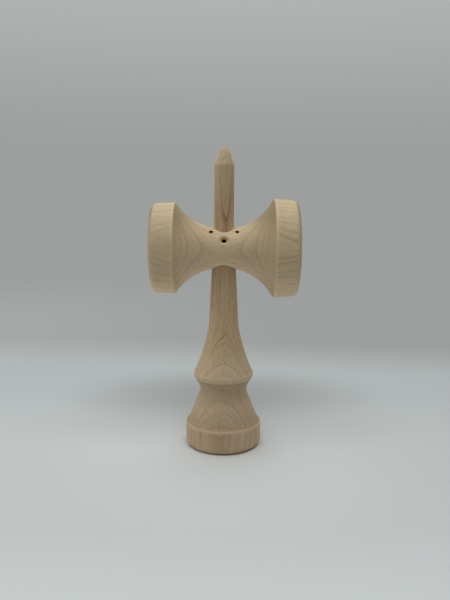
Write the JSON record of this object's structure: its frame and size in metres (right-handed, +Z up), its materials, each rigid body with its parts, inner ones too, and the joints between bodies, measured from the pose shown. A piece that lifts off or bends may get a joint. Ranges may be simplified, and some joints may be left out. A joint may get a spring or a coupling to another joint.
{
  "type": "kendama",
  "caption": "Turned wooden kendama handle with a spike and a base cup, carrying a lift-off crosspiece with a big and a small cup and string holes.",
  "frame": {"origin": "centre of the base rim, on the surface that the ken stands on", "axes": "+Z up along the ken to the spike's tip, +X along the sarado to the big cup, -Y to the side with the string holes"},
  "size_m": [0.0808, 0.0552, 0.17],
  "materials": {
    "ken_wood": "raw satin maple, grain along the handle",
    "sarado_wood": "raw satin maple, grain along the crosspiece"
  },
  "bodies": {
    "ken": {"ken": "ken_wood"},
    "sarado": {"sarado": "sarado_wood"}
  },
  "joints": [
    {"name": "sarado_lift", "type": "slide", "parent": "ken", "child": "sarado", "axis": [0, 0, 1], "range_m": [0, 0.09]}
  ]
}
